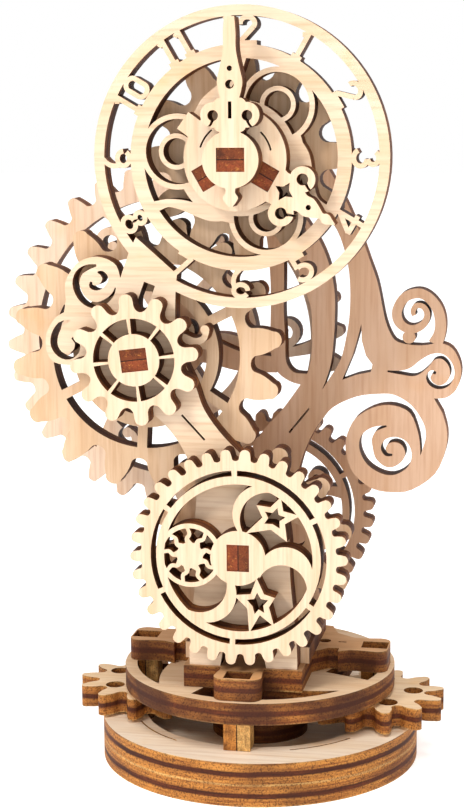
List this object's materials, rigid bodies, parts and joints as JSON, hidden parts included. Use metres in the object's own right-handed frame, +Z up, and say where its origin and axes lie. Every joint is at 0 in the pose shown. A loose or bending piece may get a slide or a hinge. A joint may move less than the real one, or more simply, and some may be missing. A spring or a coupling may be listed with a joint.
{
  "type": "wooden 3d jigsaw model",
  "caption": "Plywood mechanical clock puzzle: dial with hour and minute hands, meshing gears and scroll frames on a swivelling round base.",
  "frame": {"origin": "centre of the base's flat underside", "axes": "+Z up along the swivel axis, +X to the right seen from the dial side, +Y to the back"},
  "size_m": [0.0878, 0.0594, 0.1378],
  "materials": {
    "face_ply": "bare laser-cut birch plywood, pale faces and burnt edges",
    "strip_ply": "plywood strip seen on its burnt cut edges"
  },
  "bodies": {
    "base": {"base_bottom_disc": "face_ply", "base_top_ring": "face_ply", "sun_spacer": "face_ply", "sun_gear": "face_ply", "centre_post": "strip_ply", "post_cap": "face_ply"},
    "tower": {"carrier_ring": "face_ply", "foot_spider": "face_ply", "peg_front": "strip_ply", "peg_back": "strip_ply", "side_pin_left": "strip_ply", "side_pin_right": "strip_ply", "dial_frame": "face_ply", "scroll_frame": "face_ply", "foot_brace_left": "face_ply", "foot_brace_right": "face_ply"},
    "side_gear_l": {"side_gear_left": "face_ply"},
    "side_gear_r": {"side_gear_right": "face_ply"},
    "middle_arbor": {"middle_axle": "strip_ply", "knob_pinion": "face_ply", "middle_gear": "face_ply", "large_gear": "face_ply", "middle_collar_front": "face_ply", "middle_collar_rear": "face_ply"},
    "lower_arbor": {"lower_axle": "strip_ply", "moon_star_gear": "face_ply", "lower_gear": "face_ply", "back_gear": "face_ply", "lower_collar_front": "face_ply", "lower_collar_mid": "face_ply", "lower_collar_inner": "face_ply", "lower_collar_outer": "face_ply"},
    "hour_cage": {"hour_hand": "face_ply", "hour_gear": "face_ply", "hour_strut_top": "strip_ply", "hour_strut_left": "strip_ply", "hour_strut_right": "strip_ply"},
    "minute_arbor": {"minute_axle": "strip_ply", "minute_hand": "face_ply", "minute_pinion": "face_ply", "minute_collar_front": "face_ply", "minute_collar_rear": "face_ply"}
  },
  "joints": [
    {"name": "tower_swivel", "type": "hinge", "parent": "base", "child": "tower", "pos_m": [0, 0, 0.0154], "axis": [0, 0, 1], "continuous": true},
    {"name": "side_gear_left_spin", "type": "hinge", "parent": "tower", "child": "side_gear_l", "pos_m": [-0.02185, 0, 0.0106], "axis": [0, 0, 1], "continuous": true},
    {"name": "side_gear_right_spin", "type": "hinge", "parent": "tower", "child": "side_gear_r", "pos_m": [0.02185, 0, 0.0106], "axis": [0, 0, 1], "continuous": true},
    {"name": "middle_spin", "type": "hinge", "parent": "tower", "child": "middle_arbor", "pos_m": [-0.01824, 0, 0.0773], "axis": [0, 1, 0], "continuous": true},
    {"name": "lower_spin", "type": "hinge", "parent": "tower", "child": "lower_arbor", "pos_m": [0, 0, 0.0426], "axis": [0, 1, 0], "continuous": true},
    {"name": "hour_spin", "type": "hinge", "parent": "tower", "child": "hour_cage", "pos_m": [0, 0, 0.112], "axis": [0, 1, 0], "continuous": true},
    {"name": "minute_spin", "type": "hinge", "parent": "tower", "child": "minute_arbor", "pos_m": [0, 0, 0.112], "axis": [0, 1, 0], "continuous": true}
  ],
  "couplings": [
    {"joint": "side_gear_left_spin", "follows": "tower_swivel", "ratio": 0.91667},
    {"joint": "side_gear_right_spin", "follows": "tower_swivel", "ratio": 0.91667},
    {"joint": "lower_spin", "follows": "middle_spin", "ratio": -1.3333},
    {"joint": "hour_spin", "follows": "middle_spin", "ratio": -1.3333},
    {"joint": "minute_spin", "follows": "middle_spin", "ratio": -4}
  ]
}
